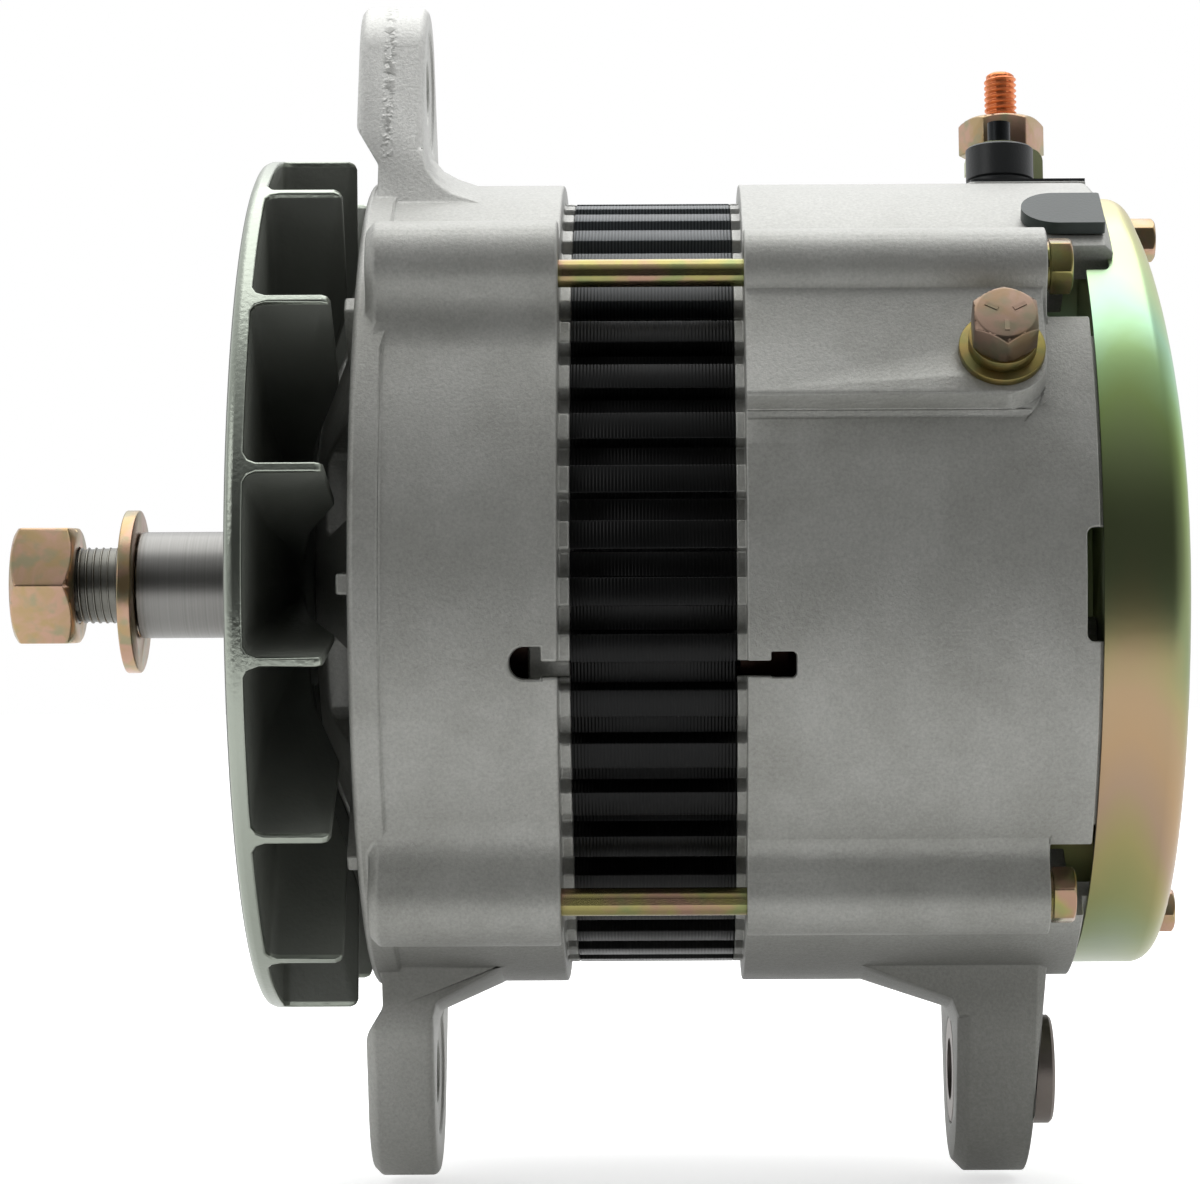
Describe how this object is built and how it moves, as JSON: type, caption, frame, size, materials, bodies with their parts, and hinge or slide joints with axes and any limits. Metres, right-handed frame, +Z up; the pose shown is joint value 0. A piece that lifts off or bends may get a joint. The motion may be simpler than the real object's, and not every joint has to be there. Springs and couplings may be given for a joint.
{
  "type": "brushless alternator",
  "caption": "Heavy-duty brushless alternator with an open cooling fan, finned stator, cast housings with mounting feet and a domed rear cover",
  "frame": {"origin": "centre of the pulley seat, on the shaft axis in the plane of the fan's front face", "axes": "+X runs along the shaft to the rear cover, +Z points up to the adjusting ear, +Y points away from the side shown in the picture"},
  "size_m": [0.2377, 0.1761, 0.2435],
  "materials": {
    "cast": "blasted casting",
    "fan": "dark coating",
    "lamination": "satin black varnish",
    "zinc": "yellow zinc plate",
    "gold": "gold dichromate plate",
    "cover": "iridescent zinc plate",
    "steel": "ground",
    "bush": "plain",
    "rubber": "matte",
    "insulator": "moulded",
    "copper": "plain copper",
    "winding": "varnished copper",
    "bearing": "ground",
    "shield": "pressed",
    "iron": "machined",
    "alloy": "non-magnetic",
    "plate": "plain",
    "post": "blackened",
    "tin": "plated",
    "plastic": "moulded"
  },
  "bodies": {
    "housing": {"front_housing": "cast", "stator_core": "lamination", "stator_winding": "winding", "rear_housing": "cast", "through_bolts": "gold", "earth_bolt": "zinc", "earth_washer": "zinc", "earth_spring_washer": "zinc", "rear_cover": "cover", "cover_screws": "zinc", "rubber_plug": "rubber", "terminal_plate": "insulator", "signal_bushing": "insulator", "signal_washer": "tin", "signal_post": "post", "output_bushing": "insulator", "output_strap": "tin", "output_nut": "zinc", "output_stud": "copper", "front_bearing_outer": "bearing", "bearing_retainer": "shield", "retainer_screws": "zinc", "field_core": "iron", "field_coil": "winding", "core_screws": "zinc", "rear_bearing_outer": "bearing", "shaft_seal": "rubber", "negative_plate": "plate", "positive_plate": "plate", "plate_insulators": "plastic", "plate_screws": "zinc", "diodes": "shield", "regulator": "plastic"},
    "rotor": {"rotor_shaft": "steel", "fan": "fan", "fan_spacer": "steel", "claw_pole_driven": "iron", "claw_pole_floating": "iron", "pole_ring": "alloy", "front_bearing_inner": "bearing", "rear_bearing_inner": "bearing"},
    "washer": {"shaft_washer": "zinc"},
    "nut": {"shaft_nut": "zinc"},
    "bush": {"foot_bush": "bush"}
  },
  "joints": [
    {"name": "rotor_spin", "type": "hinge", "parent": "housing", "child": "rotor", "pos_m": [0, 0, 0], "axis": [1, 0, 0], "continuous": true},
    {"name": "washer_slide", "type": "slide", "parent": "rotor", "child": "washer", "axis": [-1, 0, 0], "range_m": [0, 0.06]},
    {"name": "nut_travel", "type": "slide", "parent": "washer", "child": "nut", "axis": [-1, 0, 0], "range_m": [-0.0092, 0.014]},
    {"name": "bush_slide", "type": "slide", "parent": "housing", "child": "bush", "axis": [-1, 0, 0], "range_m": [0, 0.005]}
  ]
}
